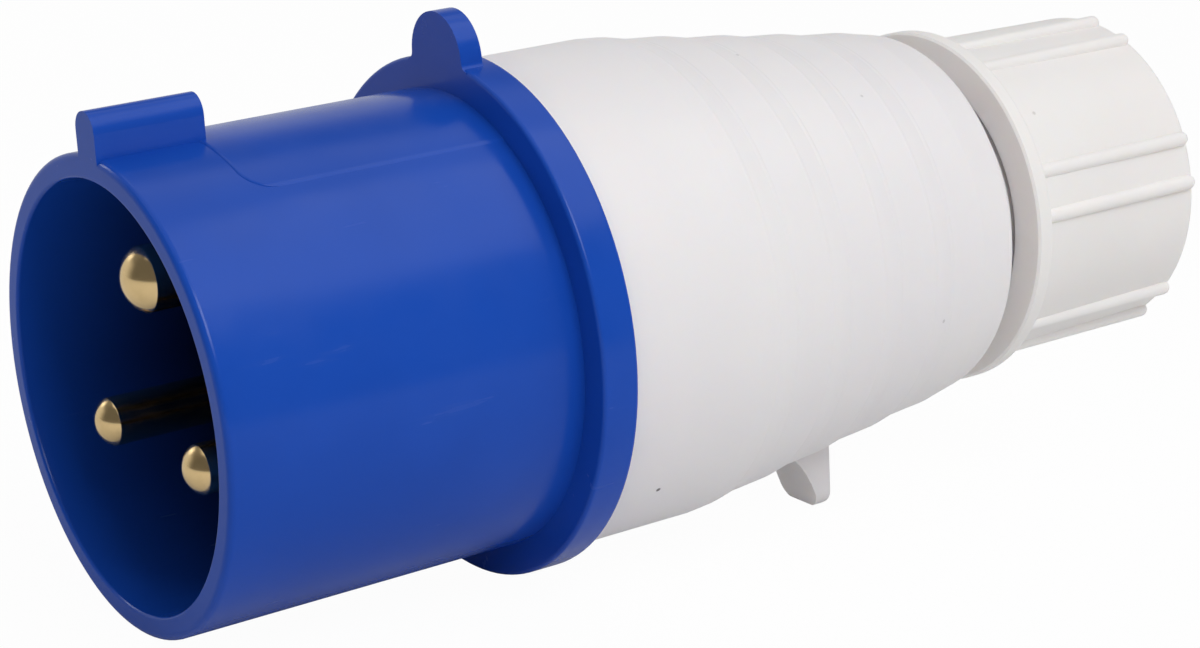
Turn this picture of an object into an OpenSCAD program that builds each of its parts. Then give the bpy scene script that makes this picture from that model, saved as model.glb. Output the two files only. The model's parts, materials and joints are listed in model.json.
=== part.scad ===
// Industrial pin and sleeve plug, 2 poles and earth, for 32 A.
// The plug's axis is +X, from the mouth plane of the sleeve to the cable entry.
// +Z runs through the key, the ear and the earth pin.

/* [Front sleeve] */
// Outside diameter of the sleeve
sleeve_d = 58; // [56:0.5:60]
// Wall of the sleeve
sleeve_wall = 2.9; // [2.5:0.1:3.3]
// Depth from the mouth to the flange
sleeve_len = 46.8; // [44:0.1:52]
// Rounding of the mouth's outer edge
mouth_round = 0.8; // [0.4:0.1:1.2]
// Width of the key rib
key_w = 4.8; // [3:0.1:6]
// Height of the key rib above the sleeve
key_h = 5.3; // [4:0.1:6]
// Length of the key rib from the mouth
key_len = 13.9; // [10:0.1:20]
// Thickness of the ledge that the pin carrier seats on
ledge_t = 2.8; // [2:0.1:4]
// Width of that ledge
ledge_w = 3.6; // [3:0.1:4]

/* [Flange and ear] */
// Diameter of the flange
flange_d = 66; // [64:0.5:68]
// Thickness of the flange
flange_t = 5; // [4:0.1:6]
// Rounding of the flange's edges
flange_round = 0.5; // [0.2:0.1:0.8]
// Radius of the ear that the connector's lid catches on
ear_r = 5.7; // [4.5:0.1:6.5]
// Height of the ear's top above the flange
ear_h = 5.8; // [4.5:0.1:7]
// Thickness of the ear
ear_t = 3; // [2:0.1:4]
// Fillet between the ear and the flange
ear_fillet = 1; // [0.5:0.1:1.5]

/* [Spigot and bayonet] */
// Length of the spigot that the housing fits over
spigot_len = 15; // [14.5:0.1:16]
// Wall of the spigot
spigot_wall = 2.5; // [2.2:0.1:2.8]
// Number of bayonet lugs
bayonet_count = 3; // [2:1:3]
// Height of a bayonet lug above the spigot
bayonet_h = 1.6; // [1.2:0.1:1.8]
// Thickness of a bayonet lug along the axis
bayonet_t = 3; // [2.5:0.1:3.5]
// Width of a bayonet lug, in degrees
bayonet_w = 24; // [18:1:26]
// Turn that unlocks the housing, in degrees
bayonet_turn = 40; // [36:1:44]
// Play at each side of a bayonet lug, in degrees
bayonet_play = 1; // [0.5:0.1:2]
// Diameter of the seal ring's section
seal_section = 1.6; // [1.2:0.1:1.8]
// Distance of the seal ring behind the flange
seal_setback = 3; // [2.5:0.1:5]

/* [Pins and terminals] */
// Diameter of the earth pin
earth_d = 8; // [7:0.1:8]
// Diameter of the line and neutral pins
live_d = 6; // [5:0.1:6]
// Diameter of the circle that the pins stand on
pin_circle_d = 26.9; // [26:0.1:28]
// Distance of the pins' tips behind the mouth
pin_setback = 4.3; // [4:0.1:8]
// Rounding of the edge round a pin's tip
tip_round = 0.8; // [0.4:0.1:1.2]
// Radius of the domed tips against the pins' own radius
tip_dome = 2.5; // [1.5:0.1:4]
// How far a pin's root in the carrier stands out past its shaft
root_step = 0.5; // [0.4:0.1:0.6]
// Wall of a terminal barrel around its wire hole
barrel_wall = 2.5; // [2:0.1:2.6]
// Length of a terminal barrel behind its collar
barrel_len = 20; // [18:0.1:22]
// Depth of a wire hole
wire_depth = 16; // [14:0.1:17]
// Diameter of the earth wire's hole
earth_wire_d = 7.2; // [6:0.1:7.4]
// Diameter of the line and neutral wires' holes
live_wire_d = 5.6; // [5:0.1:5.6]
// Diameter of the earth terminal's screw
earth_screw_d = 5; // [4:0.1:5]
// Diameter of the line and neutral terminals' screws
live_screw_d = 4; // [3:0.1:4]
// Thickness of the pressure plates
plate_t = 0.6; // [0.4:0.1:0.8]
// Distance of a pressure plate's end before the bottom of its wire hole
plate_setback = 2; // [1:0.1:3]
// Distance of a pressure plate's hook inside the barrel's rim
hook_setback = 1; // [0.6:0.1:1.2]

/* [Pin carrier] */
// Thickness of the carrier behind the ledge
carrier_t = 15.2; // [14:0.1:15.5]
// Thickness of the cover behind the carrier
cover_t = 3; // [2.5:0.1:3.2]
// Depth of the pockets that hold the pins' collars
collar_t = 4; // [3:0.1:5]
// How far a pin's collar stands out past its barrel
collar_step = 0.9; // [0.8:0.1:1.2]
// Radius of the circle of the carrier's screws
carrier_screw_r = 19.5; // [19:0.1:20]
// Diameter of the carrier's screws
carrier_screw_d = 3; // [2.5:0.1:3.5]
// Length of the carrier's screws below their heads
carrier_screw_len = 12; // [8:0.5:13]
// Height of the walls between the terminals
barrier_h = 16; // [10:0.5:18]
// Thickness of the walls between the terminals
barrier_t = 1.6; // [1.2:0.1:2]

/* [Housing] */
// Diameter of the housing's straight front
housing_d = 62.8; // [62.5:0.1:64]
// Diameter of the housing's rear edge
housing_rear_d = 50; // [48:0.5:52]
// Length of the housing
housing_len = 66.4; // [64:0.1:70]
// Length of its straight front
barrel_front_len = 19.5; // [18:0.1:22]
// Wall of the housing
housing_wall = 2.3; // [2:0.1:2.4]
// Wall across the housing's rear end
rear_wall = 2.8; // [2:0.1:3.5]
// Rounding of the housing's rear edge
rear_round = 1.6; // [0.8:0.1:2]
// Length of the lip that the bayonet lugs lock behind
lip_len = 9.6; // [9:0.1:10]
// Number of grip steps round the taper
ring_count = 4; // [2:1:4]
// Distance from one grip step to the next
ring_pitch = 9.4; // [8:0.1:10]
// Distance of the first grip step behind the straight front
ring_start = 2.8; // [2:0.1:4]
// Steep part of each grip step
ring_slope_len = 3.4; // [2.5:0.1:4]
// Height of a grip step
ring_h = 0.28; // [0.1:0.02:0.4]
// Distance of the foot's rear face before the housing's rear edge
foot_setback = 15.7; // [12:0.1:18]
// Radius of the foot's lowest edge from the axis
foot_reach = 37.8; // [36:0.1:39]
// Width of the foot
foot_w = 8; // [6:0.1:9]
// Rounding of the foot's lower corners
foot_corner = 2.5; // [1:0.1:3]
// Thickness of the foot at its tip
foot_t = 2.1; // [2:0.1:3.5]
// Radius of the foot's hollow front
foot_hollow_r = 16; // [15:0.5:24]
// Lean of the foot's front at its tip, in degrees
foot_lean = 12; // [4:1:14]

/* [Cable gland] */
// Diameter of the threaded neck, over its thread
neck_d = 38.9; // [38:0.1:39.5]
// Length of the neck behind the housing's rear wall
neck_len = 21; // [19:0.1:22]
// Wall of the neck
neck_wall = 2.65; // [2.4:0.05:2.7]
// Depth of the neck's thread
thread_depth = 0.75; // [0.5:0.05:0.9]
// Pitch of the neck's thread
thread_pitch = 3; // [2.5:0.1:3.5]
// Diameter of the cable hole in the rear wall
cable_hole_d = 22; // [20:0.1:24]
// Wall of the gland seal
seal_wall = 4.8; // [3.5:0.1:6.5]
// Length of the gland seal
gland_seal_len = 10; // [8:0.1:12]
// Wall of the clamp cage
cage_wall = 3.8; // [3:0.1:4]
// Length of the clamp cage's closed ring
cage_ring_len = 11; // [10:0.1:13]
// Length of the whole clamp cage
cage_len = 30; // [28:0.1:30.5]
// Number of clamp fingers
finger_count = 8; // [6:2:10]
// Width of the slots between the clamp fingers
finger_slot = 1.8; // [1.2:0.1:2.4]
// How far a finger's tip narrows outside
finger_taper = 1.8; // [1:0.1:2]
// Thickness of the slip ring
slip_t = 1.5; // [1:0.1:1.8]
// Width of the slip ring
slip_w = 4.5; // [3.5:0.1:5]

/* [Gland nut] */
// Gap between the housing's rear edge and the nut
nut_gap = 4.5; // [4:0.1:6]
// Length of the nut
nut_len = 31; // [30:0.1:32]
// Height of the nut's collar above its body
collar_h = 1.9; // [1.6:0.1:3]
// Width of the nut's collar
collar_w = 2.5; // [2:0.1:3.5]
// Wall of the nut behind its collar
nut_wall = 2.9; // [2:0.1:3.2]
// How far the nut's body narrows towards its rear
nut_draft = 0.5; // [0:0.1:0.6]
// Rounding of the nut's rear edge
nut_round = 1; // [0.5:0.1:1.5]
// Number of pairs of grip ribs
rib_pairs = 6; // [5:1:7]
// Half of the angle between the ribs of a pair
rib_half_angle = 7.8; // [5:0.1:9]
// Angle of the first pair from the top
rib_start = 16.5; // [0:0.5:60]
// Radius of a grip rib
rib_r = 1; // [0.8:0.1:1.2]
// Depth of the ribs' centre lines below the nut's surface
rib_sink = 0.3; // [0.1:0.1:0.5]

/* [Clearances] */
// Gap between pieces that slide or turn in each other
run_gap = 0.3; // [0.2:0.05:0.4]
// Gap between flat faces of pieces that turn on each other
face_gap = 0.1; // [0.05:0.01:0.2]
// Gap around pieces that are pushed together
push_gap = 0.1; // [0.05:0.01:0.15]
// Gap around the pins in their carrier
pin_gap = 0.05; // [0.02:0.01:0.1]
// Gap between the thread and the nut's bore
thread_gap = 0.15; // [0.1:0.01:0.2]

/* [Hidden] */
$fn = 96;
bite = 0.5;

// Sleeve, flange and spigot
sleeve_r = sleeve_d / 2;
mouth_r = sleeve_r - sleeve_wall;
ledge_r = mouth_r - ledge_w;
face_x = sleeve_len - ledge_t;
flange_r = flange_d / 2;
flange_x = sleeve_len + flange_t;
key_top = sleeve_r + key_h;
ear_z = flange_r + ear_h - ear_r;
spigot_x = flange_x + spigot_len;
lug_r = housing_d / 2 - housing_wall - run_gap;
spigot_r = lug_r - bayonet_h;
spigot_in_r = spigot_r - spigot_wall;
seal_x = flange_x + seal_setback;
groove_r = spigot_r - seal_section + face_gap / 2;
guide_w = 3;
guide_h = 1.4;

// Carrier, pins and terminals
carrier_r = spigot_in_r - push_gap;
carrier_x = sleeve_len + carrier_t;
cover_x = carrier_x + cover_t;
snap_h = 0.6;
snap_w = 20;
snap_turn = 30;
pin_circle_r = pin_circle_d / 2;
live_angle = 120;
barrel_x = carrier_x + barrel_len;
screw_x = barrel_x - wire_depth / 2;
head_h = 2.6;
head_lift = 1.2;
earth_barrel_r = earth_wire_d / 2 + barrel_wall;
live_barrel_r = live_wire_d / 2 + barrel_wall;
carrier_angles = [60, 180, 300];
carrier_head_r = carrier_screw_d;
carrier_head_h = 2;

// Housing
housing_r = housing_d / 2;
rear_r = housing_rear_d / 2;
housing_x0 = flange_x + face_gap;
housing_x1 = flange_x + housing_len;
taper_x = flange_x + barrel_front_len;
lip_x = housing_x0 + lip_len;
lip_r = spigot_r + run_gap;
chamber_r = housing_r - housing_wall;
lock_x = lip_x + face_gap;
ring_x = taper_x + ring_start;
foot_x = housing_x1 - foot_setback;
foot_round = 0.6;

// Gland
neck_r = neck_d / 2;
neck_in_r = neck_r - neck_wall;
neck_x = housing_x1 + neck_len;
cage_r = neck_in_r - push_gap;
cage_in_r = cage_r - cage_wall;
cage_x = housing_x1 + cage_len;
gland_seal_r = cage_in_r - push_gap;
seal_bore_r = gland_seal_r - seal_wall;
slip_x = cage_x + run_gap;
nut_x0 = housing_x1 + nut_gap;
nut_x1 = nut_x0 + nut_len;
nut_bore_r = neck_r + thread_gap;
nut_r = nut_bore_r + nut_wall;
nut_rear_r = nut_r - nut_draft;
collar_r = nut_r + collar_h;
slip_r = cage_r - push_gap * 2;
nut_seat_r = slip_r + run_gap;
nut_hole_r = slip_r - slip_w;

// Radius of the housing's taper at x, before the grip steps
function taper_r(x) = rear_r + (housing_r - rear_r) * (housing_x1 - x) / (housing_x1 - taper_x);

// Points on an arc about [cx, cy], from angle a0 to angle a1
function arc(cx, cy, r, a0, a1, n = 5) =
  [for (i = [0:n]) let (a = a0 + (a1 - a0) * i / n) [cx + r * cos(a), cy + r * sin(a)]];

// Turns an outline of [radius, x] points about the plug's axis
module turned(outline) {
  rotate([0, 90, 0]) rotate_extrude() polygon(outline);
}

// Part of a turned outline, w degrees wide and centred a degrees from the top
module sector(a, w, outline) {
  rotate([a - 180 - w / 2, 0, 0]) rotate([0, 90, 0]) rotate_extrude(angle = w) polygon(outline);
}

// Turned ring between two radii
module ring(r0, r1, x0, x1) {
  turned([[r0, x0], [r1, x0], [r1, x1], [r0, x1]]);
}

// Round bar or hole along the axis direction
module bar(r, x0, x1) {
  translate([x0, 0, 0]) rotate([0, 90, 0]) cylinder(r = r, h = x1 - x0);
}

// Flat [y, z] shape drawn out along the axis
module along_x(x0, x1) {
  translate([x0, 0, 0]) rotate([90, 0, 90]) linear_extrude(x1 - x0) children();
}

// Places its children a degrees from the top, r from the axis
module at_angle(a, r) {
  rotate([a, 0, 0]) translate([0, 0, r]) children();
}

module key_shape() {
  translate([-key_w / 2, sleeve_r - sleeve_wall / 2])
    square([key_w, key_h + (sleeve_wall - key_w) / 2]);
  translate([0, key_top - key_w / 2]) circle(d = key_w);
}

module ear_shape() {
  fillet_y = ear_r + ear_fillet;
  fillet_sink = 0.15;
  fillet_z = sqrt(pow(flange_r + ear_fillet - fillet_sink, 2) - pow(fillet_y, 2));
  translate([0, ear_z]) circle(r = ear_r);
  difference() {
    translate([-fillet_y, sleeve_r]) square([2 * fillet_y, fillet_z - sleeve_r]);
    for (side = [-1, 1]) translate([side * fillet_y, fillet_z]) circle(r = ear_fillet, $fn = 32);
  }
}

module sleeve_body() {
  inner_round = mouth_round / 2;
  turned(concat(
    arc(mouth_r + inner_round, inner_round, inner_round, 180, 270, 4),
    arc(sleeve_r - mouth_round, mouth_round, mouth_round, 270, 360),
    [[sleeve_r, sleeve_len]],
    arc(flange_r - flange_round, sleeve_len + flange_round, flange_round, 270, 360, 4),
    arc(flange_r - flange_round, flange_x - flange_round, flange_round, 0, 90, 4),
    [[spigot_r, flange_x], [spigot_r, seal_x], [groove_r, seal_x],
      [groove_r, seal_x + seal_section], [spigot_r, seal_x + seal_section],
      [spigot_r, spigot_x], [spigot_in_r, spigot_x], [spigot_in_r, sleeve_len],
      [ledge_r, sleeve_len], [ledge_r, face_x], [mouth_r, face_x]]));
}

module front_sleeve() {
  color("royalblue") {
    sleeve_body();
    along_x(0, key_len) key_shape();
    along_x(sleeve_len, sleeve_len + ear_t) ear_shape();
    for (i = [0:bayonet_count - 1])
      sector(i * 360 / bayonet_count, bayonet_w, [[spigot_r - bite, lock_x], [lug_r, lock_x],
        [lug_r, lock_x + bayonet_t], [spigot_r - bite, lock_x + bayonet_t]]);
    for (a = carrier_angles)
      sector(a + snap_turn, snap_w, [[spigot_in_r + bite, cover_x + push_gap],
        [spigot_in_r - snap_h, cover_x + push_gap], [spigot_in_r, spigot_x - push_gap],
        [spigot_in_r + bite, spigot_x - push_gap]]);
    guide_rib(spigot_in_r + bite, guide_w, carrier_x);
  }
}

// Rib inside the spigot that keeps the carrier from turning, or with a wider w the slot for it
module guide_rib(reach, w, x1) {
  along_x(sleeve_len, x1) translate([-w / 2, -reach])
    square([w, reach - spigot_in_r + guide_h]);
}

module guide_slot(x1) {
  along_x(sleeve_len, x1) translate([-guide_w / 2 - push_gap, -spigot_in_r - bite])
    square([guide_w + 2 * push_gap, bite + guide_h + push_gap]);
}

module pin_carrier() {
  color([0.1, 0.1, 0.11])
    difference() {
      union() {
        bar(carrier_r, sleeve_len, carrier_x);
        bar(ledge_r - push_gap, face_x, sleeve_len);
      }
      guide_slot(carrier_x);
      pin_hole(0, earth_d, earth_barrel_r);
      for (a = [live_angle, -live_angle]) pin_hole(a, live_d, live_barrel_r);
      bar(barrier_t * 2.5, sleeve_len + ledge_t, carrier_x);
      for (a = carrier_angles) at_angle(a, carrier_screw_r)
        bar(carrier_screw_d / 2 + pin_gap, cover_x - carrier_screw_len - 1, carrier_x);
    }
}

module pin_hole(a, d, barrel_r) {
  at_angle(a, pin_circle_r) {
    bar(d / 2 + root_step + pin_gap, face_x, carrier_x);
    bar(barrel_r + collar_step + pin_gap, carrier_x - collar_t, carrier_x);
  }
}

module carrier_cover() {
  color([0.13, 0.13, 0.14]) {
    difference() {
      bar(carrier_r, carrier_x, cover_x);
      guide_slot(cover_x);
      at_angle(0, pin_circle_r) bar(earth_barrel_r + pin_gap, carrier_x, cover_x);
      for (a = [live_angle, -live_angle])
        at_angle(a, pin_circle_r) bar(live_barrel_r + pin_gap, carrier_x, cover_x);
      for (a = carrier_angles)
        at_angle(a, carrier_screw_r) bar(carrier_screw_d / 2 + push_gap, carrier_x, cover_x);
    }
    barrier_walls();
  }
}

// Three walls that keep the terminals apart
module barrier_walls() {
  wall_r = carrier_screw_r - carrier_head_r - 1;
  for (a = carrier_angles) rotate([a, 0, 0])
    along_x(carrier_x + cover_t / 2, cover_x + barrier_h) translate([-barrier_t / 2, 0])
      square([barrier_t, wall_r]);
  bar(barrier_t, carrier_x + cover_t / 2, cover_x + barrier_h);
}

module carrier_screws() {
  color("silver")
    for (a = carrier_angles) at_angle(a, carrier_screw_r)
      difference() {
        union() {
          bar(carrier_screw_d / 2, cover_x - carrier_screw_len, cover_x);
          bar(carrier_head_r, cover_x, cover_x + carrier_head_h);
        }
        cross_slot(cover_x + carrier_head_h);
      }
}

// Cross recess cut into a head whose top is at x
module cross_slot(x) {
  slot_w = 0.9;
  slot_len = 3.2;
  slot_depth = 1.2;
  for (turn = [0, 90]) translate([x - slot_depth, 0, 0]) rotate([turn, 0, 0])
    translate([0, -slot_len / 2, -slot_w / 2]) cube([slot_depth + 1, slot_len, slot_w]);
}

// Turned brass pin: round tip, shaft, collar in the carrier and a barrel for the wire
module contact_pin(a, d, wire_d, barrel_r, screw_d) {
  r = d / 2;
  dome_r = r * tip_dome;
  dome_turn = asin((r - tip_round) / (dome_r - tip_round));
  tip_x = pin_setback + dome_r - (dome_r - tip_round) * cos(dome_turn);
  root_r = r + root_step;
  wire_r = wire_d / 2;
  pocket_r = barrel_r + collar_step;
  collar_x = carrier_x - collar_t;
  edge = 0.5;
  at_angle(a, pin_circle_r)
    difference() {
      turned(concat(
        arc(0, pin_setback + dome_r, dome_r, 270, 270 + dome_turn),
        arc(r - tip_round, tip_x, tip_round, 270 + dome_turn, 360),
        [[r, face_x], [root_r, face_x], [root_r, collar_x], [pocket_r, collar_x],
          [pocket_r, carrier_x], [barrel_r, carrier_x],
          [barrel_r, barrel_x - edge], [barrel_r - edge, barrel_x], [wire_r + edge, barrel_x],
          [wire_r, barrel_x - edge], [wire_r, barrel_x - wire_depth],
          [0, barrel_x - wire_depth - wire_r / 2]]));
      translate([screw_x, 0, 0]) cylinder(r = screw_d / 2 + pin_gap, h = barrel_r + 1);
    }
}

module earth_pin() {
  color("gold") contact_pin(0, earth_d, earth_wire_d, earth_barrel_r, earth_screw_d);
}

module line_pin() {
  color("gold") contact_pin(live_angle, live_d, live_wire_d, live_barrel_r, live_screw_d);
}

module neutral_pin() {
  color("gold") contact_pin(-live_angle, live_d, live_wire_d, live_barrel_r, live_screw_d);
}

// Curved plate under a terminal's screw, hooked over the barrel's end
module pressure_plate(a, wire_d, barrel_r) {
  plate_r = wire_d / 2 - pin_gap;
  plate_w = 80;
  plate_x = barrel_x - wire_depth + plate_setback;
  hook_x = barrel_x + face_gap;
  hook_r = barrel_r - hook_setback;
  at_angle(a, pin_circle_r)
    sector(0, plate_w, [[plate_r - plate_t, plate_x], [plate_r, plate_x], [plate_r, hook_x],
      [hook_r, hook_x], [hook_r, hook_x + plate_t], [plate_r - plate_t, hook_x + plate_t]]);
}

module earth_pressure_plate() {
  color("lightgray") pressure_plate(0, earth_wire_d, earth_barrel_r);
}

module line_pressure_plate() {
  color("lightgray") pressure_plate(live_angle, live_wire_d, live_barrel_r);
}

module neutral_pressure_plate() {
  color("lightgray") pressure_plate(-live_angle, live_wire_d, live_barrel_r);
}

// Screw that presses on a terminal's plate, pointing at the plug's axis
module terminal_screw(a, wire_d, barrel_r, screw_d) {
  tip = wire_d / 2;
  under_head = barrel_r + head_lift;
  at_angle(a, pin_circle_r) translate([screw_x, 0, 0]) rotate([0, -90, 0])
    difference() {
      union() {
        bar(screw_d / 2, tip, under_head);
        bar(screw_d * 0.75, under_head, under_head + head_h);
      }
      cross_slot(under_head + head_h);
    }
}

module earth_terminal_screw() {
  color("silver") terminal_screw(0, earth_wire_d, earth_barrel_r, earth_screw_d);
}

module live_terminal_screws() {
  color("silver")
    for (a = [live_angle, -live_angle])
      terminal_screw(a, live_wire_d, live_barrel_r, live_screw_d);
}

module housing_seal() {
  color("dimgray") translate([seal_x + seal_section / 2, 0, 0]) rotate([0, 90, 0])
    rotate_extrude() translate([groove_r + seal_section / 2, 0]) circle(d = seal_section, $fn = 24);
}

// Outside of the housing: straight front, then a taper with shallow grip steps
function housing_outside() = concat(
  arc(housing_r - flange_round, housing_x0 + flange_round, flange_round, 270, 360, 4),
  [[housing_r, taper_x], [taper_r(ring_x) + ring_h / 2, ring_x]],
  [for (i = [0:ring_count - 1], up = [0, 1])
    let (x = ring_x + ring_slope_len + i * ring_pitch + up * (ring_pitch - ring_slope_len))
      [taper_r(x) + (up - 0.5) * ring_h, x]],
  arc(rear_r - rear_round, housing_x1 - rear_round, rear_round, 10, 90));

// Crests and roots of the thread on the neck
function neck_thread() =
  let (start = nut_gap / 2, turns = floor((neck_len - start - 1) / thread_pitch))
  [for (i = [0:turns - 1], step = [[0, 0.15], [1, 0.3], [1, 0.6], [0, 0.75]])
    [neck_r - thread_depth * (1 - step[0]), housing_x1 + start + (i + step[1]) * thread_pitch]];

module housing_shell() {
  chamber_x = housing_x1 - rear_wall;
  chamber_rear_r = taper_r(chamber_x) - housing_wall;
  hole_r = cable_hole_d / 2;
  turned(concat(
    housing_outside(),
    [[neck_r - thread_depth, housing_x1]], neck_thread(),
    [[neck_r - thread_depth, neck_x], [neck_in_r, neck_x], [neck_in_r, housing_x1],
      [hole_r, housing_x1], [hole_r, chamber_x], [chamber_rear_r, chamber_x],
      [chamber_r, taper_x], [chamber_r, lip_x], [lip_r, lip_x],
      [lip_r, housing_x0 + bite], [lip_r + bite, housing_x0]]));
}

// Notches that let the bayonet lugs through the lip when the housing is turned
module bayonet_notches() {
  notch_r = lug_r + run_gap / 2;
  for (i = [0:bayonet_count - 1])
    sector(i * 360 / bayonet_count - bayonet_turn, bayonet_w + 2 * bayonet_play,
      [[lip_r - 1, housing_x0 - 1], [notch_r, housing_x0 - 1], [notch_r, lip_x + 1],
        [lip_r - 1, lip_x + 1]]);
}

// Stops at both ends of each bayonet lug's way
module bayonet_stops() {
  stop_w = 5;
  reach = bayonet_w / 2 + bayonet_play + 0.2 + stop_w / 2;
  for (i = [0:bayonet_count - 1], at = [reach, -bayonet_turn - reach])
    sector(i * 360 / bayonet_count + at, stop_w,
      [[lip_r + face_gap, lip_x - bite], [chamber_r + bite, lip_x - bite],
        [chamber_r + bite, lock_x + bayonet_t], [lip_r + face_gap, lock_x + bayonet_t]]);
}

// Foot under the housing, with a hollow front and a square rear face
module foot() {
  root_z = taper_r(foot_x) - housing_wall / 3;
  front_x = foot_x - foot_t;
  tip_z = -foot_reach + foot_round;
  hollow_x = front_x - foot_hollow_r * cos(foot_lean);
  hollow_z = tip_z - foot_hollow_r * sin(foot_lean);
  sweep = asin((-root_z - hollow_z) / foot_hollow_r);
  intersection() {
    translate([0, foot_w / 2, 0]) rotate([90, 0, 0]) linear_extrude(foot_w)
      polygon(concat(
        arc(hollow_x, hollow_z, foot_hollow_r, sweep, foot_lean, 8),
        arc(front_x + foot_round, tip_z, foot_round, 180, 270, 4),
        arc(foot_x - foot_round * 2, tip_z + foot_round, foot_round * 2, 270, 360, 4),
        [[foot_x, -root_z]]));
    along_x(taper_x, foot_x + 1) foot_shape();
  }
}

// Outline of the foot from the front
module foot_shape() {
  side_y = foot_w / 2 - foot_corner;
  corner_z = foot_corner - foot_reach;
  translate([-foot_w / 2 - 1, corner_z]) square([foot_w + 2, -corner_z]);
  translate([-side_y, -foot_reach - 1]) square([2 * side_y, foot_corner + 1 + bite]);
  for (side = [-1, 1]) translate([side * side_y, corner_z]) circle(r = foot_corner, $fn = 32);
}

module housing() {
  color("whitesmoke") {
    difference() {
      housing_shell();
      bayonet_notches();
    }
    bayonet_stops();
    foot();
  }
}

// Ring with springy fingers, which the nut's cone closes on the cable
module clamp_cage() {
  tip_x = cage_x - 1;
  color("gainsboro")
    difference() {
      turned([[cage_in_r, housing_x1], [cage_r, housing_x1], [cage_r, neck_x],
        [cage_r - finger_taper, tip_x], [cage_r - finger_taper - 0.6, cage_x],
        [cage_in_r - 0.6, cage_x], [cage_in_r - 0.6, cage_x - 1.5], [cage_in_r, cage_x - 2.5]]);
      for (i = [0:finger_count / 2 - 1]) rotate([i * 360 / finger_count, 0, 0])
        translate([housing_x1 + cage_ring_len, -cage_r - 1, -finger_slot / 2])
          cube([cage_len, 2 * cage_r + 2, finger_slot]);
    }
}

// Rubber sleeve that closes on the cable
module gland_seal() {
  groove = 0.5;
  x1 = housing_x1 + gland_seal_len;
  color("darkslategray")
    difference() {
      ring(seal_bore_r, gland_seal_r, housing_x1, x1);
      for (i = [1:2]) ring(gland_seal_r - groove, gland_seal_r + 1,
        housing_x1 + i * gland_seal_len / 3 - groove, housing_x1 + i * gland_seal_len / 3 + groove);
    }
}

module slip_ring() {
  color("lightgray") ring(nut_hole_r, slip_r, slip_x, slip_x + slip_t);
}

// Half-round bar with a round end, lying along the axis
module grip_rib(x0, x1) {
  turned(concat([[0, x0], [rib_r, x0]], arc(0, x1 - rib_r, rib_r, 0, 90, 4)));
}

module gland_nut() {
  body_x = nut_x0 + collar_w;
  collar_edge = 0.3;
  collar_round = 0.5;
  step_w = 0.8;
  step_r = nut_r + collar_h / 2;
  cone_x = neck_x + 1;
  slip_seat_x = slip_x + slip_t + face_gap;
  lead = 1.5;
  color("snow") {
    turned(concat(
      [[nut_bore_r, nut_x0], [collar_r - collar_edge, nut_x0], [collar_r, nut_x0 + collar_edge]],
      arc(collar_r - collar_round, body_x - collar_round, collar_round, 0, 90, 3),
      [[step_r, body_x], [step_r - 0.2, body_x + step_w], [nut_r, body_x + step_w]],
      arc(nut_rear_r - nut_round, nut_x1 - nut_round, nut_round, 0, 90),
      arc(nut_hole_r + lead, nut_x1 - lead, lead, 90, 180),
      [[nut_hole_r, slip_seat_x], [nut_seat_r, slip_seat_x], [nut_seat_r, cage_x - 2],
        [nut_bore_r, cone_x]]));
    for (i = [0:rib_pairs - 1], side = [-1, 1])
      at_angle(rib_start + i * 360 / rib_pairs + side * rib_half_angle, nut_r - rib_sink)
        grip_rib(body_x - bite, nut_x1 - nut_round / 2);
  }
}

front_sleeve();
pin_carrier();
carrier_cover();
carrier_screws();
earth_pin();
line_pin();
neutral_pin();
earth_pressure_plate();
line_pressure_plate();
neutral_pressure_plate();
earth_terminal_screw();
live_terminal_screws();
housing_seal();
housing();
clamp_cage();
gland_seal();
slip_ring();
gland_nut();
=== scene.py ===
"""Looks of the industrial pin and sleeve plug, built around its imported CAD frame."""

import json
import math

import bpy
from mathutils import Matrix, Vector


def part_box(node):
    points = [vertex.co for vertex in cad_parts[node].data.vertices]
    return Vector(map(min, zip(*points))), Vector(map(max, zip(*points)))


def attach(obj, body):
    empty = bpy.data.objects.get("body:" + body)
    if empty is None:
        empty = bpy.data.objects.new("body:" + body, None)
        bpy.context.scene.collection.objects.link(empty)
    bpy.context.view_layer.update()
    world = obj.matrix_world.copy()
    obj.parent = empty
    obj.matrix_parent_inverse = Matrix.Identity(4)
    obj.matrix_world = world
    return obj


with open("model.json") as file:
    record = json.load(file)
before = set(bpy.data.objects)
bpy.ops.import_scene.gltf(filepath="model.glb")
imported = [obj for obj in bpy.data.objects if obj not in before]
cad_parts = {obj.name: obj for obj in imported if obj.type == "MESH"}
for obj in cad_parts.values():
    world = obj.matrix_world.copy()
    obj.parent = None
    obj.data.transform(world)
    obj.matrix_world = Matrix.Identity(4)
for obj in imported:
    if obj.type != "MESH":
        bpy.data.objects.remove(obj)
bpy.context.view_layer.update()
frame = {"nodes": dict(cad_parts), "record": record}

MM = 0.001


# ---------------------------------------------------------------- places from the frame

def low(node, axis):
    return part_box(node)[0][axis]


def high(node, axis):
    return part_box(node)[1][axis]


MOUNTS = {m["name"]: m for m in frame["record"]["mounts"]}
SLEEVE_R = MOUNTS["sleeve"]["dims"]["r_mm"] * MM
FLANGE_X = MOUNTS["flange_stop"]["pos_m"][0]
MOUTH_X = low("front_sleeve", 0)
FOOT_Z = low("housing", 2)
NUT_X = low("gland_nut", 0), high("gland_nut", 0)
CENTRE = Vector((0.5 * (MOUTH_X + NUT_X[1]), 0, 0))

# The plug rests on the bottom of its mouth and on the tip of its foot
FOOT_X = 0.1015
FLOOR_TILT = math.atan2(-SLEEVE_R - FOOT_Z, FOOT_X - MOUTH_X)
FLOOR_DROP = 0.0002


# ---------------------------------------------------------------- node helpers

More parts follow.
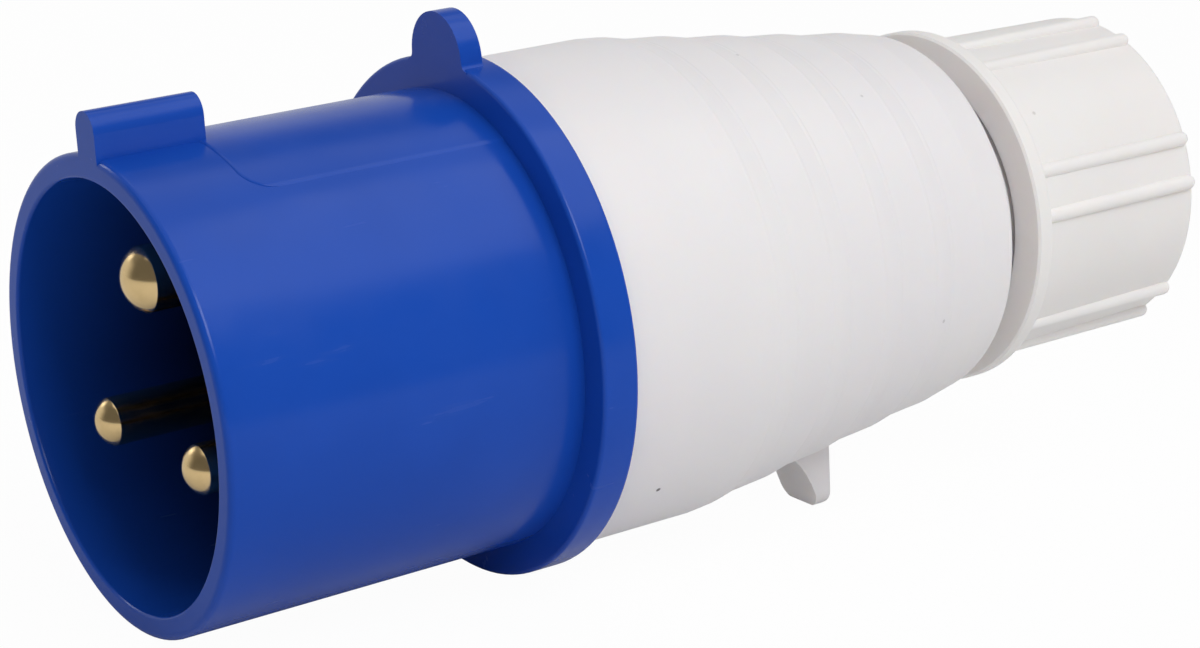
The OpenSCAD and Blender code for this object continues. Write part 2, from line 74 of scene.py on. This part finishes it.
class Shader:
    """A material's node tree, with short calls for the nodes that the plug's plastics use."""

    def __init__(self, name):
        self.material = bpy.data.materials.new(name)
        self.material.use_nodes = True
        self.tree = self.material.node_tree
        self.tree.nodes.clear()
        self.out = self.add("ShaderNodeOutputMaterial")
        self.place = self.add("ShaderNodeTexCoord").outputs["Object"]

    def add(self, kind, **settings):
        node = self.tree.nodes.new(kind)
        for key, value in settings.items():
            setattr(node, key, value)
        return node

    def link(self, source, target):
        self.tree.links.new(source, target)

    def put(self, socket, value):
        """Links a socket to another node's output, or sets it to a plain value."""
        if isinstance(value, bpy.types.NodeSocket):
            self.link(value, socket)
        else:
            socket.default_value = value

    def principled(self, colour, roughness, **plain):
        shader = self.add("ShaderNodeBsdfPrincipled")
        self.put(shader.inputs["Base Color"], colour)
        self.put(shader.inputs["Roughness"], roughness)
        for key, value in plain.items():
            shader.inputs[key.replace("_", " ")].default_value = value
        self.link(shader.outputs["BSDF"], self.out.inputs["Surface"])
        return shader

    def noise(self, scale, detail=2.0, stretch=(1, 1, 1), roughness=0.5):
        mapping = self.add("ShaderNodeMapping")
        mapping.inputs["Scale"].default_value = stretch
        self.link(self.place, mapping.inputs["Vector"])
        node = self.add("ShaderNodeTexNoise")
        node.inputs["Scale"].default_value = scale
        node.inputs["Detail"].default_value = detail
        node.inputs["Roughness"].default_value = roughness
        self.link(mapping.outputs["Vector"], node.inputs["Vector"])
        return node.outputs["Fac"]

    def remap(self, value, from_min, from_max, to_min=0.0, to_max=1.0, smooth=True):
        node = self.add("ShaderNodeMapRange")
        node.interpolation_type = "SMOOTHSTEP" if smooth else "LINEAR"
        self.put(node.inputs["Value"], value)
        node.inputs["From Min"].default_value = from_min
        node.inputs["From Max"].default_value = from_max
        node.inputs["To Min"].default_value = to_min
        node.inputs["To Max"].default_value = to_max
        return node.outputs["Result"]

    def math(self, operation, a, b=0.0):
        node = self.add("ShaderNodeMath", operation=operation)
        self.put(node.inputs[0], a)
        self.put(node.inputs[1], b)
        return node.outputs["Value"]

    def mix(self, factor, a, b):
        node = self.add("ShaderNodeMix", data_type="RGBA")
        self.put(node.inputs["Factor"], factor)
        self.put(node.inputs["A"], a)
        self.put(node.inputs["B"], b)
        return node.outputs["Result"]

    def axes(self):
        node = self.add("ShaderNodeSeparateXYZ")
        self.link(self.place, node.inputs["Vector"])
        return node.outputs["X"], node.outputs["Y"], node.outputs["Z"]

    def distance_to(self, point):
        node = self.add("ShaderNodeVectorMath", operation="DISTANCE")
        self.link(self.place, node.inputs[0])
        node.inputs[1].default_value = point
        return node.outputs["Value"]

    def bump(self, shader, layers):
        """Layers are (height, depth in metres) pairs, from the broadest to the finest."""
        normal = None
        for height, depth in layers:
            node = self.add("ShaderNodeBump")
            node.inputs["Strength"].default_value = 1.0
            node.inputs["Distance"].default_value = depth
            self.link(height, node.inputs["Height"])
            if normal is not None:
                self.link(normal, node.inputs["Normal"])
            normal = node.outputs["Normal"]
        self.link(normal, shader.inputs["Normal"])


def rgba(red, green, blue):
    return (red, green, blue, 1.0)


# ---------------------------------------------------------------- materials

def blue_plastic():
    """Glossy moulded shell: faint flow streaks, sink waves, a few rubbed marks, and painted
    shade that darkens the sleeve's inside towards the carrier.
    """
    s = Shader("blue_gloss_plastic")
    cloud = s.remap(s.noise(45, 3), 0.35, 0.65)
    colour = s.mix(cloud, rgba(0.0080, 0.067, 0.430), rgba(0.0095, 0.073, 0.460))
    scuffs = s.remap(s.noise(420, 3, (0.12, 1, 1), 0.6), 0.66, 0.74)
    colour = s.mix(s.math("MULTIPLY", scuffs, 0.06), colour, rgba(0.12, 0.19, 0.50))
    # Painted shade: the sleeve's inside is coloured near-black towards the carrier, in place of
    # the shade deep in the sleeve.
    colour = s.mix(painted_inside_shade(s), colour, rgba(0.004, 0.007, 0.026))
    gloss = s.remap(s.noise(150, 4), 0.3, 0.7, 0.16, 0.24)
    roughness = s.math("ADD", gloss, s.math("MULTIPLY", scuffs, 0.12))
    shader = s.principled(colour, roughness, IOR=1.45, Specular_IOR_Level=0.22)
    s.bump(shader, [(s.noise(28, 2), 0.00005), (s.noise(1500, 2), 0.000002)])
    return s.material


def painted_inside_shade(s):
    """Mask of painted shade on the sleeve's inside, which darkens from the mouth down to the
    carrier.
    """
    x, y, z = s.axes()
    radius = s.math("SQRT", s.math("ADD", s.math("MULTIPLY", y, y), s.math("MULTIPLY", z, z)))
    inside = s.remap(radius, SLEEVE_R - 1.0 * MM, SLEEVE_R - 1.4 * MM)
    start, end = MOUTH_X + 1 * MM, MOUTH_X + 26 * MM
    depth = s.remap(x, start, end, 0.0, 0.95, smooth=False)
    return s.math("MULTIPLY", inside, depth)


# X along the plug, angle from the top towards -Y, radius there, size and darkness of each speck
HOUSING_SPECKS = [
    (0.0593, 127.4, 0.0314, 0.00040, 0.9),
    (0.0869, 14.7, 0.0293, 0.00035, 0.30),
    (0.0997, 36.6, 0.0276, 0.00030, 0.22),
    (0.1046, 105.0, 0.0268, 0.00035, 0.25),
]
NUT_SPECKS = [
    (0.1289, 48.1, 0.0224, 0.00035, 0.22),
]


# The housing's grip steps: where they begin, the distance between them, a slope's length, number
STEPS_X = low("housing", 0) + 22.3 * MM
STEP_PITCH, STEP_SLOPE, STEP_COUNT = 9.4 * MM, 3.4 * MM, 4


def step_creases(s):
    """Height of the fine moulded lines at both ends of each grip step's slope."""
    lead = 1.0 * MM
    along = s.math("SUBTRACT", s.axes()[0], STEPS_X - lead)
    place = s.math("MODULO", along, STEP_PITCH)

    def line(at, height):
        away = s.math("ABSOLUTE", s.math("SUBTRACT", place, at))
        return s.remap(away, 0.05 * MM, 0.40 * MM, height, 0.0)

    lines = s.math("ADD", line(lead, 0.5), line(lead + STEP_SLOPE, 1.0))
    after = s.math("GREATER_THAN", along, 0.0)
    before = s.math("LESS_THAN", along, STEP_COUNT * STEP_PITCH)
    return s.math("MULTIPLY", lines, s.math("MULTIPLY", after, before))


def white_plastic(name, warm, cool, specks=(), creases=False):
    """Satin moulded shell with faint waves and a few dark specks in the plastic."""
    s = Shader(name)
    colour = s.mix(s.remap(s.noise(35, 3), 0.35, 0.65), rgba(*warm), rgba(*cool))
    for x, angle, r, size, dark in specks:
        a = math.radians(angle)
        near = s.distance_to((x, -r * math.sin(a), r * math.cos(a)))
        fade = s.remap(near, 0.5 * size, size, dark, 0.0)
        colour = s.mix(fade, colour, rgba(0.05, 0.04, 0.04))
    roughness = s.remap(s.noise(220, 4), 0.3, 0.7, 0.40, 0.50)
    shader = s.principled(
        colour, roughness, IOR=1.46, Specular_IOR_Level=0.35,
        Subsurface_Weight=0.35, Subsurface_Scale=3 * MM, Subsurface_Radius=(1.0, 0.75, 0.55))
    layers = [(s.noise(60, 2), 0.00003), (s.noise(2200, 3), 0.000004)]
    if creases:
        layers.insert(1, (step_creases(s), 0.00004))
    s.bump(shader, layers)
    return s.material


def dark_plastic():
    """Black moulding of the pin carrier, slightly glossy."""
    s = Shader("carrier_black")
    colour = s.mix(s.noise(90, 3), rgba(0.006, 0.006, 0.009), rgba(0.012, 0.012, 0.015))
    shader = s.principled(colour, s.remap(s.noise(300, 3), 0.3, 0.7, 0.34, 0.46), IOR=1.5)
    s.bump(shader, [(s.noise(900, 3), 0.000008)])
    return s.material


def brass():
    """Turned and polished brass with fine lathe rings and a trace of tarnish."""
    s = Shader("polished_brass")
    tarnish = s.remap(s.noise(260, 4, roughness=0.6), 0.45, 0.75)
    dull = s.math("MULTIPLY", tarnish, 0.35)
    colour = s.mix(dull, rgba(0.88, 0.65, 0.33), rgba(0.62, 0.42, 0.19))
    roughness = s.math("ADD", 0.17, s.math("MULTIPLY", tarnish, 0.10))
    shader = s.principled(colour, roughness, Metallic=1.0)
    rings = s.noise(1.0, 1, (9000, 60, 60))
    s.bump(shader, [(s.noise(90, 2), 0.00001), (rings, 0.0000003)])
    return s.material


def steel():
    """Zinc-plated screws and plates."""
    s = Shader("zinc_steel")
    colour = s.mix(s.noise(300, 3), rgba(0.55, 0.55, 0.54), rgba(0.68, 0.68, 0.66))
    shader = s.principled(colour, s.remap(s.noise(500, 3), 0.3, 0.7, 0.25, 0.4), Metallic=1.0)
    s.bump(shader, [(s.noise(1200, 3), 0.000004)])
    return s.material


def rubber():
    """Matt black seals."""
    s = Shader("seal_rubber")
    colour = s.mix(s.noise(200, 3), rgba(0.010, 0.010, 0.010), rgba(0.022, 0.022, 0.022))
    shader = s.principled(colour, s.remap(s.noise(400, 3), 0.3, 0.7, 0.6, 0.8))
    s.bump(shader, [(s.noise(1500, 3), 0.00001)])
    return s.material


def dress(material, *nodes):
    for name in nodes:
        mesh = frame["nodes"][name].data
        mesh.materials.clear()
        mesh.materials.append(material)


# ---------------------------------------------------------------- the sleeve's label panel

def curved_plate(name, x0, x1, half_angle, corner, r_in, r_out, edge):
    """A thin plate bent round the plug's axis, with two round front corners and a soft edge."""
    steps_x, steps_a = 56, 72
    arc = half_angle * r_out

    def front(s):
        """X of the plate's front edge at s along the arc."""
        past = abs(s) - (arc - corner)
        return x0 if past <= 0 else x0 + corner - math.sqrt(max(0.0, corner**2 - past**2))

    verts, faces = [], []
    for i in range(steps_x + 1):
        for j in range(steps_a + 1):
            s = arc * (2 * j / steps_a - 1)
            start = front(s)
            along = start + (x1 - start) * (i / steps_x) ** 1.6
            inside = min(along - start, arc - abs(s))
            rise = min(1.0, inside / edge)
            r = r_in + (r_out - r_in) * (rise * (2 - rise))
            a = s / r_out
            verts.append((along, -r * math.sin(a), r * math.cos(a)))
    row = steps_a + 1
    for i in range(steps_x):
        for j in range(steps_a):
            at = i * row + j
            faces.append((at, at + row, at + row + 1, at + 1))
    mesh = bpy.data.meshes.new(name)
    mesh.from_pydata(verts, [], faces)
    mesh.shade_smooth()
    plate = bpy.data.objects.new(name, mesh)
    bpy.context.collection.objects.link(plate)
    return plate


def label_panel(material):
    panel = curved_plate(
        "label_panel", MOUTH_X + 12.9 * MM, FLANGE_X, math.radians(30.2), 4.0 * MM,
        SLEEVE_R - 0.05 * MM, SLEEVE_R + 0.14 * MM, 0.35 * MM)
    panel.data.materials.append(material)
    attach(panel, "plug_front")


# ---------------------------------------------------------------- the pins' domed tips

def revolved(name, profile, centre_y, centre_z, steps=64):
    """A closed piece turned about an axis along X, from (x, radius) points.

    The first and the last point lie on the axis.
    """
    verts = [(profile[0][0], centre_y, centre_z)]
    for x, r in profile[1:-1]:
        for j in range(steps):
            a = 2 * math.pi * j / steps
            verts.append((x, centre_y + r * math.cos(a), centre_z + r * math.sin(a)))
    verts.append((profile[-1][0], centre_y, centre_z))
    rows, last = len(profile) - 2, len(verts) - 1
    faces = []
    for j in range(steps):
        k = (j + 1) % steps
        faces.append((0, 1 + k, 1 + j))
        faces.append((last, last - steps + j, last - steps + k))
        for i in range(rows - 1):
            at, to = 1 + i * steps, 1 + (i + 1) * steps
            faces.append((at + j, at + k, to + k, to + j))
    mesh = bpy.data.meshes.new(name)
    mesh.from_pydata(verts, [], faces)
    mesh.shade_smooth()
    piece = bpy.data.objects.new(name, mesh)
    bpy.context.collection.objects.link(piece)
    return piece


def pin_tip(pin, material):
    """The round dome on a pin's tip, a close cap over the end of the pin's shaft."""
    dims, place = MOUNTS[pin]["dims"], MOUNTS[pin]["pos_m"]
    r = dims["r_mm"] * MM + 0.02 * MM
    tip_x, skirt_x = MOUTH_X + 2.8 * MM, MOUTH_X + 6.5 * MM
    dome_r, edge_r = 1.12 * r, 0.4 * MM
    # The edge's circle touches the dome from inside, and the shaft's side
    edge_y = r - edge_r
    reach = dome_r - edge_r
    dome_x = tip_x + dome_r
    edge_x = dome_x - math.sqrt(reach**2 - edge_y**2)
    turn = math.asin(edge_y / reach)
    dome_steps, edge_steps = 24, 8
    profile = []
    for i in range(dome_steps + 1):
        a = turn * i / dome_steps
        profile.append((dome_x - dome_r * math.cos(a), dome_r * math.sin(a)))
    for i in range(1, edge_steps + 1):
        a = turn + (math.pi / 2 - turn) * i / edge_steps
        profile.append((edge_x - edge_r * math.cos(a), edge_y + edge_r * math.sin(a)))
    profile += [(skirt_x - 0.02 * MM, r), (skirt_x, r), (skirt_x, 0.5 * r), (skirt_x, 0.0)]
    cap = revolved(pin + "_tip", profile, place[1], place[2])
    cap.data.materials.append(material)
    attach(cap, "plug_front")


# ---------------------------------------------------------------- floor, light and camera

def backdrop_material(name, colour, white):
    """Plain diffuse floor that the camera sees as nearly white."""
    s = Shader(name)
    paths = s.add("ShaderNodeLightPath").outputs
    seen = s.math("MAXIMUM", paths["Is Camera Ray"], paths["Is Transmission Ray"])
    plain = s.add("ShaderNodeBsdfDiffuse")
    plain.inputs["Color"].default_value = rgba(colour, colour, colour)
    glow = s.add("ShaderNodeEmission")
    glow.inputs["Color"].default_value = rgba(1, 1, 1)
    mix = s.add("ShaderNodeMixShader")
    s.link(s.math("MULTIPLY", seen, white), mix.inputs["Fac"])
    s.link(plain.outputs["BSDF"], mix.inputs[1])
    s.link(glow.outputs["Emission"], mix.inputs[2])
    under = s.add("ShaderNodeMixShader")
    s.link(s.add("ShaderNodeNewGeometry").outputs["Backfacing"], under.inputs["Fac"])
    s.link(mix.outputs["Shader"], under.inputs[1])
    s.link(s.add("ShaderNodeBsdfTransparent").outputs["BSDF"], under.inputs[2])
    s.link(under.outputs["Shader"], s.out.inputs["Surface"])
    return s.material


def make_floor():
    bpy.ops.mesh.primitive_circle_add(vertices=96, radius=30.0, fill_type="NGON")
    floor = bpy.context.object
    floor.name = "floor"
    floor.rotation_euler = (0, FLOOR_TILT, 0)
    floor.location = (MOUTH_X, 0, -SLEEVE_R - FLOOR_DROP)
    floor.data.materials.append(backdrop_material("floor_white", 0.82, 0.97))


def make_flag():
    """Dark studio card round the plug, higher behind it, which only reflections show."""
    radius, bottom, steps = 0.50, -0.12, 96
    front_top, back_top, side_rise = 0.44, 0.72, 0.55
    verts, faces = [], []
    for i in range(steps + 1):
        a = 2 * math.pi * i / steps
        back = 0.5 - 0.5 * math.cos(a)
        mouth_side = max(0.0, -math.sin(a))
        top = front_top + (back_top - front_top) * back**2 + side_rise * mouth_side
        for z in (bottom, top):
            verts.append((CENTRE.x * 0.4 + radius * math.sin(a), -radius * math.cos(a), z))
    for i in range(steps):
        faces.append((2 * i, 2 * i + 2, 2 * i + 3, 2 * i + 1))
    mesh = bpy.data.meshes.new("flag")
    mesh.from_pydata(verts, [], faces)
    flag = bpy.data.objects.new("flag", mesh)
    bpy.context.collection.objects.link(flag)
    s = Shader("flag_card")
    x, y, z = s.axes()
    low_level = s.remap(y, 0.1, 0.4, 0.14, 0.62)
    high_level = s.remap(y, 0.1, 0.4, 0.14, 0.20)
    gain = s.math("SUBTRACT", high_level, low_level)
    level = s.math("ADD", low_level, s.math("MULTIPLY", s.remap(z, 0.20, 0.40), gain))
    card = s.add("ShaderNodeEmission")
    card.inputs["Color"].default_value = rgba(1, 1, 1)
    s.link(level, card.inputs["Strength"])
    fade = s.add("ShaderNodeMixShader")
    rise_back = s.remap(y, 0.0, radius, 0.0, back_top - front_top)
    rise_side = s.remap(x, 0.0, -0.8 * radius, 0.0, side_rise)
    above = s.math("SUBTRACT", s.math("SUBTRACT", z, rise_back), rise_side)
    s.link(s.remap(above, 0.24, front_top), fade.inputs["Fac"])
    s.link(card.outputs["Emission"], fade.inputs[1])
    s.link(s.add("ShaderNodeBsdfTransparent").outputs["BSDF"], fade.inputs[2])
    s.link(fade.outputs["Shader"], s.out.inputs["Surface"])
    mesh.materials.append(s.material)
    flag.visible_camera = False
    flag.visible_diffuse = False
    flag.visible_shadow = False
    flag.visible_transmission = False


def make_world(ambient):
    world = bpy.data.worlds.new("studio")
    bpy.context.scene.world = world
    world.use_nodes = True
    tree = world.node_tree
    tree.nodes.clear()
    paths = tree.nodes.new("ShaderNodeLightPath").outputs
    seen = paths["Is Camera Ray"]
    for name in ("Is Glossy Ray", "Is Transmission Ray"):
        either = tree.nodes.new("ShaderNodeMath")
        either.operation = "MAXIMUM"
        tree.links.new(seen, either.inputs[0])
        tree.links.new(paths[name], either.inputs[1])
        seen = either.outputs["Value"]
    strength = tree.nodes.new("ShaderNodeMapRange")
    tree.links.new(seen, strength.inputs["Value"])
    strength.inputs["To Min"].default_value = ambient
    strength.inputs["To Max"].default_value = 1.0
    background = tree.nodes.new("ShaderNodeBackground")
    background.inputs["Color"].default_value = rgba(1, 1, 1)
    tree.links.new(strength.outputs["Result"], background.inputs["Strength"])
    out = tree.nodes.new("ShaderNodeOutputWorld")
    tree.links.new(background.outputs["Background"], out.inputs["Surface"])


def area_light(name, towards, distance, size, irradiance):
    """A square softbox in the direction towards, which gives that irradiance at the plug."""
    direction = Vector(towards).normalized()
    data = bpy.data.lights.new(name, "AREA")
    data.size = size
    data.energy = irradiance * math.pi * math.pi * distance**2
    light = bpy.data.objects.new(name, data)
    light.location = CENTRE + direction * distance
    light.rotation_mode = "QUATERNION"
    light.rotation_quaternion = direction.to_track_quat("Z", "Y")
    bpy.context.collection.objects.link(light)
    return light


def make_lights():
    make_world(0.37)
    area_light("key", (0.02, -0.74, 0.66), 1.0, 0.45, 0.42)
    area_light("top", (0.46, -0.32, 0.83), 0.9, 0.60, 0.16)
    area_light("back_left", (-0.37, 0.80, 0.46), 1.0, 0.20, 0.13)


def make_camera():
    data = bpy.data.cameras.new("camera")
    data.lens = 88.3
    data.sensor_width = 36
    data.clip_start, data.clip_end = 0.01, 100
    camera = bpy.data.objects.new("camera", data)
    right = Vector((0.82212, -0.56712, -0.0499)).normalized()
    forward = Vector((0.53202, 0.79652, -0.28725))
    forward = (forward - right * forward.dot(right)).normalized()
    up = right.cross(forward)
    turn = Matrix((right, up, -forward)).transposed().to_4x4()
    camera.matrix_world = Matrix.Translation((-0.1336, -0.30284, 0.10385)) @ turn
    bpy.context.collection.objects.link(camera)
    bpy.context.scene.camera = camera


# ---------------------------------------------------------------- the scene

make_camera()
make_floor()
make_flag()
make_lights()

blue = blue_plastic()
gold = brass()
housing_white = white_plastic(
    "housing_white", (0.865, 0.835, 0.85), (0.885, 0.855, 0.86), HOUSING_SPECKS, creases=True)
nut_white = white_plastic(
    "nut_white", (0.885, 0.855, 0.84), (0.905, 0.88, 0.865), NUT_SPECKS)
gland_white = white_plastic("gland_plastic", (0.70, 0.68, 0.65), (0.74, 0.72, 0.69))

dress(blue, "front_sleeve")
dress(dark_plastic(), "pin_carrier", "carrier_cover")
dress(gold, "earth_pin", "line_pin", "neutral_pin")
dress(steel(), "carrier_screws", "earth_terminal_screw", "live_terminal_screws",
      "earth_pressure_plate", "line_pressure_plate", "neutral_pressure_plate")
dress(rubber(), "housing_seal", "gland_seal")
dress(housing_white, "housing")
dress(nut_white, "gland_nut")
dress(gland_white, "clamp_cage", "slip_ring")
label_panel(blue)
for pin in ("earth_pin", "line_pin", "neutral_pin"):
    pin_tip(pin, gold)

bpy.context.scene.view_settings.view_transform = "Standard"
